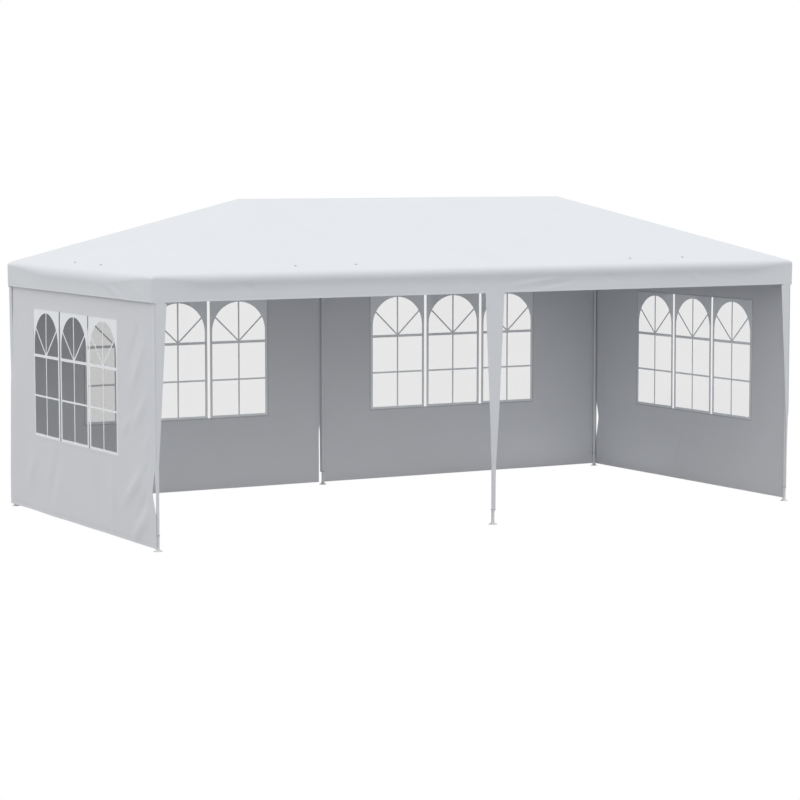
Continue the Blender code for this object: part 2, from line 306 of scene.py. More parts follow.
# Creases of the valance: (side, place along it, height) of both ends, its width and its height
VALANCE_CREASES = [
    (LEFT_SIDE, (0.52, 1.965), (0.90, 1.855), 0.020, 0.0040),
    (LEFT_SIDE, (0.74, 1.960), (1.00, 1.855), 0.018, -0.0035),
    (LEFT_SIDE, (1.06, 1.965), (1.30, 1.870), 0.018, 0.0030),
    (FRONT_SIDE, (-2.19, 1.965), (-2.09, 1.895), 0.012, -0.0045),
    (FRONT_SIDE, (0.10, 1.885), (0.66, 1.955), 0.014, 0.0045),
    (FRONT_SIDE, (0.30, 1.860), (0.78, 1.925), 0.014, -0.0035),
    (FRONT_SIDE, (1.87, 1.968), (1.97, 1.868), 0.012, 0.0050),
    (FRONT_SIDE, (2.54, 1.968), (2.40, 1.900), 0.014, -0.0035),
    (FRONT_SIDE, (1.02, 1.966), (1.16, 1.900), 0.014, -0.0030),
]
# The valance: its ripples, how far from a drape they and its creases are full, its hem and the hem's seam
VALANCE_RIPPLE = 0.0030
RIPPLE_EASE = 0.18
CREASE_EASE = 0.05
HEM = 0.017
HEM_STEP = 0.002
STITCH = 0.0002


def valance_push(station, height):
    """How far the loose valance stands out from its line: ripples between the drapes, and creases."""
    side, place, angle = station
    if angle > 0.0:
        return 0.0
    half, _ = side_halves(side)
    clear = half - CORNER_REACH[-1][1] - abs(place)
    if half == HALF_LENGTH:
        clear = min(clear, abs(place) - MIDDLE_DRAPE[-1][1])
    loose = ease(0.0, RIPPLE_EASE, clear) * (1.0 - ease(VALANCE_BOTTOM + 0.02, LONG_EAVE["low"], height))
    ripple = noise.noise(Vector((place * 2.6, side * 7.3, height * 1.5)))
    push = loose * VALANCE_RIPPLE * (0.5 + 0.5 * ripple)
    for crease_side, start, end, width, rise in VALANCE_CREASES:
        if crease_side == side:
            push += ease(0.0, CREASE_EASE, clear) * fold((place, height), start, end, width, rise)
    return push


def canopy_rows():
    """The rows of the canopy from the valance's edge up to the ridge, each (part, value)."""
    rows = [("hem", height) for height in (0.0, HEM - HEM_STEP, HEM, HEM + HEM_STEP)]
    rows += [("valance", (step + 1) / VALANCE_ROWS) for step in range(VALANCE_ROWS)]
    rows += [("bend", (step + 1) / BEND_ROWS) for step in range(BEND_ROWS)]
    rows += [("roof", (step + 1) / ROOF_ROWS) for step in range(ROOF_ROWS)]
    return rows


def valance_point(station, part, value):
    """A point of the valance: a height above its edge in its hem, or a share of the way up the rest."""
    shape = eave_shape(*station)
    height = VALANCE_BOTTOM + value
    if part == "valance":
        height = mix(VALANCE_BOTTOM + HEM + HEM_STEP, shape["low"], value)
    push = valance_push(station, height)
    if part == "hem" and value == HEM and station[2] == 0.0:
        push -= STITCH

    def out_of(sizes):
        share = (height - VALANCE_BOTTOM) / (sizes["low"] - VALANCE_BOTTOM)
        return mix(sizes["hang"], sizes["bulge"], min(share, 1.0) ** 3)

    place = outline(station, out_of, CORNER_RADIUS_OUT)
    return Vector((*(place + Vector(SIDES[station[0]][1]) * push), height))


def bend_point(station, value, edge):
    """A point of the rolled eave, a share of the way from the valance up to the roof's edge."""
    side, _, angle = station
    shape = eave_shape(*station)
    pitches = [FRONT_PITCH, END_PITCH] if side in LONG_SIDES else [END_PITCH, FRONT_PITCH]
    pitch = mix(*pitches, angle / (pi / 2))
    peak = edge - pitch * (shape["bulge"] - shape["start"])
    rise = shape["full"] * (peak - shape["low"])
    slant = 3.0 * (shape["bulge"] - shape["hang"]) / (shape["low"] - VALANCE_BOTTOM)

    def out_of(sizes):
        lean = mix(sizes["start"], sizes["bulge"], sizes["full"])
        return bezier(value, sizes["bulge"], sizes["bulge"] + slant * rise, lean, sizes["start"])

    height = bezier(value, shape["low"], shape["low"] + rise, mix(edge, peak, shape["full"]), edge)
    radius = mix(CORNER_RADIUS_OUT, CORNER_RADIUS_IN, value * value)
    return Vector((*outline(station, out_of, radius), height))


def canopy_point(station, row):
    """The point of the cover at a station, in one of its rows."""
    part, value = row
    if part in ("hem", "valance"):
        return valance_point(station, part, value)
    lift = eave_shape(*station)["lift"]
    start = outline(station, lambda sizes: sizes["start"], CORNER_RADIUS_IN)
    if part == "bend":
        return bend_point(station, value, roof_height(*start) + lift)
    plan = start.lerp(ridge_place(station), value)
    slack = between_rafters(station) * sin(pi * value)
    height = roof_height(*plan) + lift * (1.0 - value) - ROOF_SAG * slack
    height += ROOF_WAVE * slack * noise.noise(Vector((plan.x * 1.9, plan.y * 1.9, 0.4)))
    for crease_start, crease_end, width, rise in ROOF_CREASES:
        height += min(slack * 4.0, 1.0) * fold(plan, crease_start, crease_end, width, rise)
    return Vector((*plan, height))


def corner_place(side, across, out):
    """A place on a sheet wrapped round the leg after a side; across is its run from the corner's middle."""
    travel, outward = (Vector(way) for way in SIDES[side])
    half, away = side_halves(side)
    leg = travel * half + outward * away
    arc = pi / 4 * out
    if across > arc:
        return leg + outward * out - travel * (across - arc)
    if across < -arc:
        return leg + travel * out + outward * (across + arc)
    angle = pi / 4 * (1.0 - across / arc)
    return leg + (outward * cos(angle) + travel * sin(angle)) * out


def hang_corner_drape(bm, side, stations):
    """Adds the strip that hangs round the leg after a side."""
    before, after = side, (side + 1) % 4
    at_front = FRONT_SIDE in (before, after)
    arc = pi / 4 * DRAPE_OUT
    curves = {}
    for own in (before, after):
        if own in LONG_SIDES:
            curves[own] = CORNER_REACH
        else:
            curves[own] = TIED_REACH if at_front else END_REACH
    edge, runs = [], []
    for own_side, place, angle in stations:
        clear = side_halves(before)[0] - place
        if own_side == before and clear <= curves[before][-1][1] + WELD:
            runs.append(arc * (1.0 - angle / (pi / 4)) + clear)
            edge.append((own_side, place, angle))
    for own_side, place, angle in stations[:-1]:
        clear = place + side_halves(after)[0]
        if own_side == after and clear <= curves[after][-1][1] + WELD:
            runs.append(-arc - clear)
            edge.append((own_side, place, angle))
    heights = spread([DRAPE_BOTTOM, VALANCE_BOTTOM - LEDGE], ROW)

    def place(column, row):
        if row == len(heights):
            return canopy_point(edge[column], ("hem", 0.0))
        height = heights[row]
        out = read_curve(TIED_OUT if at_front else LOOSE_OUT, height)
        run = runs[column]
        own = before if run > 0 else after
        full = arc + curves[own][-1][1]
        share = (pi / 4 * out + read_curve(curves[own], height)) / full
        if own != FRONT_SIDE:
            loose = 0.0 if at_front or own == BACK_SIDE else LOOSENESS * ease(*LOOSE_HEIGHTS, height)
            out = mix(out, min(out, FLUSH_OUT), ease(*FLUSH_SHARES, abs(run) / full) * (1.0 - loose))
        return Vector((*corner_place(before, run * share, out), height))

    add_grid(bm, len(runs) - 1, len(heights), place)


def hang_middle_drape(bm, side, stations):
    """Adds the strip that hangs in front of a middle leg."""
    wide = MIDDLE_DRAPE[-1][1]
    places = [place for own_side, place, _ in stations if own_side == side and abs(place) <= wide + WELD]
    out_curve = TIED_OUT if side == FRONT_SIDE else LOOSE_OUT
    travel, outward = (Vector(way) for way in SIDES[side])
    heights = spread([DRAPE_BOTTOM, VALANCE_BOTTOM - LEDGE], ROW)

    def place(column, row):
        if row == len(heights):
            return canopy_point((side, places[column], 0.0), ("hem", 0.0))
        height = heights[row]
        share = places[column] / wide
        out = read_curve(out_curve, height)
        curl = out - FLUSH_OUT if side == BACK_SIDE else DRAPE_CURL * (1.0 - ease(*CURL_HEIGHTS, height))
        plan = travel * share * read_curve(MIDDLE_DRAPE, height)
        plan += outward * (HALF_DEPTH + out - curl * share * share)
        return Vector((*plan, height))

    add_grid(bm, len(places) - 1, len(heights), place)


def nodes_named(*starts):
    """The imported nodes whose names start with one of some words."""
    return [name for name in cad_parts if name.startswith(starts)]


def make_canopy(material):
    """The whole cover as one sheet: hipped roof, rolled eaves, valance and the six leg drapes."""
    stations = cover_stations()
    rows = canopy_rows()
    bm = bmesh.new()

    def place(column, row):
        return canopy_point(stations[column], rows[row])

    add_grid(bm, len(stations) - 1, len(rows) - 1, place)
    for side in range(4):
        hang_corner_drape(bm, side, stations)
    for side in LONG_SIDES:
        hang_middle_drape(bm, side, stations)
    bmesh.ops.remove_doubles(bm, verts=bm.verts[:], dist=WELD)
    thicken(bm, SHEET)
    canopy = make_piece("canopy", bm, material)
    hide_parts("roof_cover", *nodes_named("leg_drape_"))


# Walls

# Each wall and the axis that it runs along: X at the back, Y at the ends
WALL_AXIS = {"left_end": 1, "right_end": 1, "back_left": 0, "back_right": 0}
# How far an end wall reaches past the centre lines of its front and back legs
PAST_FRONT = 0.0186
PAST_BACK = 0.0075

# Folds of a wall: (place along it, height) of both ends, its width and its height
WALL_FOLDS = {
    "left_end": [
        ((-1.36, 0.65), (-0.84, 0.27), 0.040, 0.014),
        ((-1.42, 0.68), (-1.14, 0.48), 0.030, -0.009),
        ((-1.38, 0.30), (-1.02, 0.02), 0.042, 0.012),
        ((-1.40, 0.44), (-1.10, 0.20), 0.030, -0.008),
        ((-1.06, 0.98), (-0.80, 0.79), 0.028, 0.008),
        ((-1.42, 0.92), (-1.26, 0.72), 0.030, 0.009),
        ((-1.34, 1.62), (-0.98, 1.10), 0.040, 0.010),
        ((-1.22, 1.72), (-0.92, 1.28), 0.035, -0.008),
        ((-1.38, 1.20), (-1.02, 0.84), 0.040, 0.010),
        ((-0.63, 0.60), (-0.68, 0.08), 0.050, 0.010),
        ((-0.30, 0.58), (-0.42, 0.10), 0.060, -0.008),
        ((0.40, 0.60), (0.65, 0.08), 0.060, -0.009),
        ((0.90, 0.55), (1.15, 0.15), 0.060, 0.008),
    ],
    "right_end": [
        ((0.02, 0.62), (0.24, 0.08), 0.040, 0.008),
        ((0.78, 1.24), (1.10, 0.94), 0.035, 0.006),
        ((1.38, 0.46), (1.05, 0.20), 0.045, 0.006),
        ((-0.95, 0.60), (-1.20, 0.20), 0.060, -0.005),
    ],
    "back_left": [
        ((-1.90, 0.60), (-1.80, 0.10), 0.060, 0.005),
        ((-0.12, 0.55), (-0.40, 0.20), 0.050, 0.005),
        ((-0.80, 0.58), (-0.95, 0.08), 0.070, -0.005),
    ],
    "back_right": [
        ((0.30, 0.60), (0.42, 0.10), 0.060, 0.005),
        ((1.50, 0.60), (1.42, 0.10), 0.070, -0.005),
        ((2.60, 0.90), (2.45, 0.20), 0.060, 0.005),
    ],
}

# Where an edge is pulled off its leg: (height, distance) curves, for the edge at the lower or higher place
EDGE_PULLS = {
    ("left_end", "low"): [
        (0.23, 0.0), (0.27, 0.008), (0.335, 0.032), (0.43, 0.067),
        (0.45, 0.066), (0.52, 0.046), (0.60, 0.020), (0.70, 0.0),
    ],
    ("left_end", "high"): [(0.02, -0.030), (0.25, -0.032), (0.60, -0.016), (1.00, 0.0)],
    ("right_end", "low"): [(0.02, 0.030), (0.60, 0.030), (0.75, 0.0)],
    ("right_end", "high"): [
        (0.10, 0.0), (0.283, 0.018), (0.34, 0.030), (0.455, 0.053),
        (0.519, 0.040), (0.60, 0.018), (0.68, 0.0),
    ],
    ("back_left", "high"): [(0.02, 0.028), (0.48, 0.029), (0.55, 0.022), (0.66, 0.0)],
}
PULL_REACH = 0.38
# How far out the left end laps over the drape at the back corner, and how far a wall billows: in broad
# sways, and in smaller ones near the ground
CORNER_LAP = 0.0085
BROAD_SWAY = 0.006
LOW_SWAY = 0.005
LOW_SWAY_HEIGHTS = (0.1, 0.7)
# Over which distances from a leg and from the valance a wall's billows and folds, and its lap, grow or die
# out, and over which ones round the window its folds do
BILLOW_FROM_LEG = (0.04, 0.45)
BILLOW_FROM_VALANCE = (-0.02, 0.28)
FOLD_FROM_LEG = (0.05, 0.16)
FOLD_FROM_VALANCE = (0.0, 0.20)
FOLD_TO_WINDOW = (-0.06, 0.02)
LAP_FROM_LEG = (0.04, 0.30)
LAP_HEIGHTS = (0.95, 1.25)
# How far a wall's seam lies from its edge, how wide the band round its window is and how much of that is
# raised, how wide the slopes beside them are, and how deep the seam is and how high the band
SEAM = 0.022
BAND = 0.014
BAND_RAISED = 0.012
SEAM_STEP = 0.003
RELIEF = 0.0004


def wall_edges(name):
    """The lowest and highest place along a wall."""
    if WALL_AXIS[name] == 1:
        return -HALF_DEPTH - PAST_FRONT, HALF_DEPTH + PAST_BACK
    low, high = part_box("wall_" + name)
    return low.x, high.x


def window_frame(name):
    """The lowest and highest place along the wall, and height, of a window's opening."""
    low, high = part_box("window_" + name)
    axis = WALL_AXIS[name]
    return (low[axis], high[axis]), (low.z, high.z)


def wall_place(name, along, height, out):
    """A wall's own (place along it, height, distance out) as a point of the tent."""
    if name == "left_end":
        return Vector((-HALF_LENGTH - out, along, height))
    if name == "right_end":
        return Vector((HALF_LENGTH + out, along, height))
    return Vector((along, HALF_DEPTH + out, height))


def wall_sway(name, along, height):
    """How far a wall stands out of its plane: its folds, and billows away from the legs and the valance."""
    low, high = wall_edges(name)
    clear = min(along - low, high - along)
    loose = ease(*BILLOW_FROM_LEG, clear) * ease(*BILLOW_FROM_VALANCE, VALANCE_BOTTOM - height)
    seed = 3.1 * list(WALL_AXIS).index(name)
    sway = BROAD_SWAY * noise.noise(Vector((along * 1.1, height * 0.8, seed)))
    flutter = noise.noise(Vector((along * 2.6, height * 0.5, seed + 9.0)))
    sway += LOW_SWAY * flutter * (1.0 - ease(*LOW_SWAY_HEIGHTS, height))
    (left, right), (bottom, top) = window_frame(name)
    inside = ease(*FOLD_TO_WINDOW, min(along - left, right - along, height - bottom, top - height))
    pleats = sum(fold((along, height), *crease) for crease in WALL_FOLDS[name])
    pleats *= (1.0 - inside) * ease(*FOLD_FROM_LEG, clear)
    pleats *= ease(*FOLD_FROM_VALANCE, VALANCE_BOTTOM - height)
    lap = CORNER_LAP * (1.0 - ease(*LAP_FROM_LEG, high - along)) * (1.0 - ease(*LAP_HEIGHTS, height))
    return sway * loose + pleats + (lap if name == "left_end" else 0.0)


def wall_pull(name, along, height):
    """How far a place on a wall is drawn along it where an edge hangs free of its leg."""
    low, high = wall_edges(name)
    pull = 0.0
    for end, gap, way in (("low", along - low, 1.0), ("high", high - along, -1.0)):
        if (name, end) in EDGE_PULLS:
            near = 1.0 - ease(0.0, PULL_REACH, gap)
            pull += way * near * read_curve(EDGE_PULLS[name, end], height)
    return pull


def wall_lines(name):
    """The grid lines of a wall, through its seams and the edges of its window."""
    low, high = wall_edges(name)
    (left, right), (bottom, top) = window_frame(name)
    across = [low, low + SEAM - SEAM_STEP, low + SEAM, low + SEAM + SEAM_STEP]
    across += [left - BAND, left - BAND + SEAM_STEP, left, right, right + BAND - SEAM_STEP, right + BAND]
    across += [high - SEAM - SEAM_STEP, high - SEAM, high - SEAM + SEAM_STEP, high]
    up = [WALL_BOTTOM, WALL_BOTTOM + SEAM - SEAM_STEP, WALL_BOTTOM + SEAM, WALL_BOTTOM + SEAM + SEAM_STEP]
    up += [bottom - BAND, bottom - BAND + SEAM_STEP, bottom, top, top + BAND - SEAM_STEP, top + BAND]
    up += [WALL_TOP]
    return spread(across, CELL), spread(up, CELL)


def make_wall(name, material):
    """A hanging wall with a seamed edge and an opening for its window."""
    across, up = wall_lines(name)
    low, high = wall_edges(name)
    (left, right), (bottom, top) = window_frame(name)
    ordered = across if name == "right_end" else across[::-1]

    def place(column, row):
        along, height = ordered[column], up[row]
        groove = RELIEF if abs(min(along - low, high - along, height - WALL_BOTTOM) - SEAM) < WELD else 0.0
        past_window = max(left - along, along - right, bottom - height, height - top)
        raised = RELIEF if past_window < BAND_RAISED else 0.0
        out = WALL_OUT + wall_sway(name, along, height) - groove + raised
        return wall_place(name, along + wall_pull(name, along, height), height, out)

    bm = bmesh.new()
    add_grid(bm, len(across) - 1, len(up) - 1, place)
    opening = []
    for face in bm.faces:
        centre = face.calc_center_median()
        if left < centre[WALL_AXIS[name]] < right and bottom < centre.z < top:
            opening.append(face)
    bmesh.ops.delete(bm, geom=opening, context="FACES")
    thicken(bm, SHEET)
    wall = make_piece("side_wall_" + name, bm, material)
    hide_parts("wall_" + name)


# Windows

# The film's thickness, how far out it lies, how far it laps behind the wall, and the print's thickness
FILM = 0.0004
FILM_OUT = WALL_OUT - 0.0012
FILM_OVERLAP = 0.010
PRINT = 0.0012

# The share of light that passes through a pane, lower on the left end as painted shade on the same film,
# and through the clearer strips between two printed frames and along the film's edge
PANE_CLEAR_AND_PAINTED_SHADE = {"left_end": 0.66, "right_end": 0.80, "back_left": 0.80, "back_right": 0.80}
STRIP_CLEAR = 0.85
# The printed frames and the gap between two; how far from a gap's middle, and from the film's edge, a strip
# reaches, and where it has faded into the pane
FRAMES = 3
FRAME_GAP = 0.026
CLEAR_REACH = FRAME_GAP / 2 + 0.002
CLEAR_FADE = FRAME_GAP / 2 + 0.008
CLEAR_EDGE = 0.008

# One printed frame, measured from the bottom of the film and from its own middle: the height of its sill and
# of its two crossbars, its arch, half the width of its middle bar and of its spokes, and where a spoke runs
SILL = 0.020
LOW_BAR = (0.3215, 0.3365)
CROSS_BAR = (0.6445, 0.6675)
ARCH_CENTRE = 0.751
ARCH_RADIUS = 0.2555
MULLION = 0.0072
SPOKE = 0.0068
SPOKE_HUB = 0.663
SPOKE_TIP = (0.230, 0.881)
ARCH_STEPS = 10


def frame_width(name):
    """The width of one printed frame."""
    (left, right), _ = window_frame(name)
    return (right - left - FRAME_GAP * (FRAMES - 1)) / FRAMES


def make_film(name, material):
    """The clear sheet of a window, welded on behind the edge of its opening."""
    (left, right), (bottom, top) = window_frame(name)
    width = frame_width(name)
    gaps = [left + number * (width + FRAME_GAP) - FRAME_GAP / 2 for number in range(1, FRAMES)]
    stops = [left - FILM_OVERLAP, left, left + CLEAR_EDGE]
    for gap in gaps:
        stops += [gap - CLEAR_FADE, gap - CLEAR_REACH, gap + CLEAR_REACH, gap + CLEAR_FADE]
    across = spread([*stops, right - CLEAR_EDGE, right, right + FILM_OVERLAP], CELL)
    levels = [bottom - FILM_OVERLAP, bottom, bottom + CLEAR_EDGE, top - CLEAR_EDGE, top, top + FILM_OVERLAP]
    up = spread(levels, CELL)
    ordered = across if name == "right_end" else across[::-1]

    def place(column, row):
        along, height = ordered[column], up[row]
        return wall_place(name, along, height, FILM_OUT + wall_sway(name, along, height))

    bm = bmesh.new()
    add_grid(bm, len(across) - 1, len(up) - 1, place)
    clear = bm.verts.layers.float.new("clear")
    for point in bm.verts:
        along, height = point.co[WALL_AXIS[name]], point.co.z
        lap = min(along - left, right - along, height - bottom, top - height) < WELD
        strip = lap or any(abs(along - gap) < CLEAR_REACH + WELD for gap in gaps)
        # A left-end pane lets less through than the same film elsewhere: painted shade
        point[clear] = STRIP_CLEAR if strip else PANE_CLEAR_AND_PAINTED_SHADE[name]
    thicken(bm, FILM)
    film = make_piece("film_" + name, bm, material)
    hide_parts("window_" + name)
    return film


def arch_point(start, direction):
    """Where a line from start meets the arch."""
    start, direction = Vector(start), Vector(direction).normalized()
    offset = start - Vector((0.0, ARCH_CENTRE))
    along = offset.dot(direction)
    return start + direction * (sqrt(along**2 - offset.length_squared + ARCH_RADIUS**2) - along)


def arch_run(start, end):
    """Points along the arch from one point on it to another."""
    centre = Vector((0.0, ARCH_CENTRE))
    first, turn = start - centre, (start - centre).angle_signed(end - centre)
    return [centre + Matrix.Rotation(-turn * step / ARCH_STEPS, 2) @ first for step in range(ARCH_STEPS + 1)]


def pane_outlines():
    """The clear panes in the right half of one printed frame, each a list of (across, up) points."""
    panes = [
        [(MULLION, low), (ARCH_RADIUS, low), (ARCH_RADIUS, high), (MULLION, high)]
        for low, high in ((SILL, LOW_BAR[0]), (LOW_BAR[1], CROSS_BAR[0]))
    ]
    hub = Vector((0.0, SPOKE_HUB))
    way = (Vector(SPOKE_TIP) - hub).normalized()
    beside = Vector((-way.y, way.x)) * SPOKE
    above, below = hub + beside, hub - beside
    crown = arch_point((MULLION, ARCH_CENTRE), (0.0, 1.0))
    foot_above = above + way * ((MULLION - above.x) / way.x)
    panes.append([foot_above, *arch_run(arch_point(above, way), crown)])
    foot_below = below + way * ((CROSS_BAR[1] - below.y) / way.y)
    springing = Vector((ARCH_RADIUS, ARCH_CENTRE))
    panes.append([foot_below, (ARCH_RADIUS, CROSS_BAR[1]), *arch_run(springing, arch_point(below, way))])
    return panes


def make_print(name, material):
    """The three white window frames printed on a film, each with its panes left clear."""
    (left, right), (bottom, top) = window_frame(name)
    width, height = frame_width(name), top - bottom
    bm = bmesh.new()
    for number in range(FRAMES):
        centre = left + width / 2 + number * (width + FRAME_GAP)
        rim = [(-width / 2, 0.0), (width / 2, 0.0), (width / 2, height), (-width / 2, height)]
        loops = [rim]
        for pane in pane_outlines():
            loops += [pane, [(-across, up) for across, up in pane]]
        edges = []
        for loop in loops:
            points = [bm.verts.new((centre + across, 0.0, bottom + up)) for across, up in loop]
            edges += [bm.edges.new((point, points[i - 1])) for i, point in enumerate(points)]
        bmesh.ops.triangle_fill(bm, use_beauty=True, edges=edges)
    for way, start, end in ((Vector((1.0, 0.0, 0.0)), left, right), (Vector((0.0, 0.0, 1.0)), bottom, top)):
        for cut in spread([start, end], CELL)[1:-1]:
            bmesh.ops.bisect_plane(bm, geom=bm.verts[:] + bm.edges[:] + bm.faces[:], dist=WELD / 4,
                                   plane_co=way * cut, plane_no=way)
    bmesh.ops.recalc_face_normals(bm, faces=bm.faces[:])
    for point in bm.verts:
        along, height = point.co.x, point.co.z
        point.co = wall_place(name, along, height, FILM_OUT + wall_sway(name, along, height))
    bm.normal_update()
    outwards = wall_place(name, 0.0, 0.0, 1.0) - wall_place(name, 0.0, 0.0, 0.0)
    wrong = [face for face in bm.faces if face.normal.dot(outwards) < 0]
    bmesh.ops.reverse_faces(bm, faces=wrong)
    thicken(bm, PRINT)
    return make_piece("window_print_" + name, bm, material)


# Fittings

# Eyelets: the radius of one and of its rim, how far up the slope from the eave they are, the shares of the
# sheet's lift and sag there, how far from the middle of a pair they are, and the middle of each pair along a
# long side and along an end
EYELET_RADIUS = 0.0080
EYELET_TUBE = 0.0022
EYELET_UP = 0.098
EYELET_SLOPE = 0.36
EYELET_LIFT = 0.93
EYELET_SAG = 0.25
EYELET_OFFSET = 0.26
LONG_EYELETS = (-1.445, 1.622)
END_EYELETS = 0.055
# Ties: how high they are on the leg, and the radius of the cord and of the loop
TIE_HEIGHT = 0.118
TIE_TUBE = 0.0016
TIE_RADIUS = 0.0168


def add_ring(bm, centre, normal, radius, tube_radius, steps=20, sides=8):
    """Adds a round ring by turning a small circle about its axis."""
    profile = bmesh.ops.create_circle(bm, segments=sides, radius=tube_radius, matrix=Matrix.Translation(
        (radius, 0.0, 0.0)) @ Matrix.Rotation(pi / 2, 4, "X"))["verts"]
    edges = list({edge for point in profile for edge in point.link_edges})
    before = set(bm.verts) - set(profile)
    bmesh.ops.spin(bm, geom=profile + edges, axis=(0, 0, 1), cent=(0, 0, 0), angle=tau, steps=steps,
                   use_merge=True)
    made = [point for point in bm.verts if point not in before]
    turn = Vector(normal).to_track_quat("Z", "Y").to_matrix().to_4x4()
    bmesh.ops.transform(bm, matrix=Matrix.Translation(centre) @ turn, verts=made)


def eyelet_places():
    """Each eyelet's place on the roof and the roof's direction there: two over each bay and each end."""
    inward = EYELET_UP * cos(EYELET_SLOPE)
    places = []
    for side in (-1, 1):
        for centre in LONG_EYELETS:
            for way in (-1, 1):
                x = centre + way * EYELET_OFFSET
                y = side * (HALF_DEPTH - inward)
                places.append(((x, y), Vector((0.0, side * FRONT_PITCH, 1.0)).normalized()))
    for end in (-1, 1):
        for way in (-1, 1):
            x = end * (HALF_LENGTH - inward)
            y = END_EYELETS + way * EYELET_OFFSET
            places.append(((x, y), Vector((end * END_PITCH, 0.0, 1.0)).normalized()))
    return places


def make_eyelets(material):
    """The plastic eyelets, set into the roof sheet."""
    bm = bmesh.new()
    for (x, y), normal in eyelet_places():
        lift = LONG_EAVE["lift"] if normal.y else END_EAVE["lift"]
        height = roof_height(x, y) + lift * EYELET_LIFT - ROOF_SAG * EYELET_SAG
        add_ring(bm, Vector((x, y, height)) + normal * SHEET, normal, EYELET_RADIUS, EYELET_TUBE)
    bmesh.ops.recalc_face_normals(bm, faces=bm.faces[:])
    make_piece("roof_eyelets", bm, material)


def make_ties(material):
    """The elastic loops that hold the bottom of each drape to its leg."""
    bm = bmesh.new()
    for x in (-HALF_LENGTH, 0.0, HALF_LENGTH):
        for y in (-HALF_DEPTH, HALF_DEPTH):
            add_ring(bm, Vector((x, y, TIE_HEIGHT)), Vector((0.0, 0.0, 1.0)), TIE_RADIUS, TIE_TUBE, steps=28)
    bmesh.ops.recalc_face_normals(bm, faces=bm.faces[:])
    make_piece("drape_ties", bm, material)


# Finishes

# A sheet that faces up more than this has its weave along X and Y, and a steeper one sideways and upwards
FLAT_SLOPE = 0.6
# The noise scales of a sheet's crinkles and clouds and of a hard surface's clouds, how much the gloss of
# each varies, how much lighter a sheet is painted where its tapes cross over and darker where they pass
# under, as painted highlight and shade of the weave, and how much higher it is where they cross over
CRINKLES = 42.0
SHEET_CLOUDS = 3.5
GRAIN_CLOUDS = 14.0
SHEET_GLOSS = 0.12
GRAIN_GLOSS = 0.2
TAPE_PAINTED_LIGHT = 0.006
TAPE_RISE = 0.06
WHITE = (1.0, 1.0, 1.0, 1.0)


def new_group(name, inputs, outputs):
    """A shader node group with named inputs, (name, kind, value), and outputs, (name, kind)."""
    group = bpy.data.node_groups.new(name, "ShaderNodeTree")
    for title, kind, value in inputs:
        socket = group.interface.new_socket(title, in_out="INPUT", socket_type="NodeSocket" + kind)
        socket.default_value = value
    for title, kind in outputs:
        group.interface.new_socket(title, in_out="OUTPUT", socket_type="NodeSocket" + kind)
    return group, group.nodes.new("NodeGroupInput"), group.nodes.new("NodeGroupOutput")


def set_inputs(tree, node, inputs):
    """Puts values or links on a node's inputs, by name or number."""
    for title, value in dict(inputs).items():
        if isinstance(value, bpy.types.NodeSocket):
            tree.links.new(value, node.inputs[title])
        else:
            node.inputs[title].default_value = value


def add_node(tree, kind, inputs=(), **settings):
    """Adds a node with its settings and inputs."""
    node = tree.nodes.new("ShaderNode" + kind)
    for setting, value in settings.items():
        setattr(node, setting, value)
    set_inputs(tree, node, inputs)
    return node


def math(tree, operation, *values):
    """The result of a Math node on values and sockets."""
    return add_node(tree, "Math", enumerate(values), operation=operation).outputs[0]


def vary(tree, texture, amount, middle):
    """A value that a noise texture varies round its middle."""
    return math(tree, "MULTIPLY_ADD", math(tree, "SUBTRACT", texture.outputs[0], 0.5), amount, middle)


def new_material(name):
    """A new material, its node tree and its shader."""
    material = bpy.data.materials.new(name)
    material.use_nodes = True
    return material, material.node_tree, material.node_tree.nodes["Principled BSDF"]


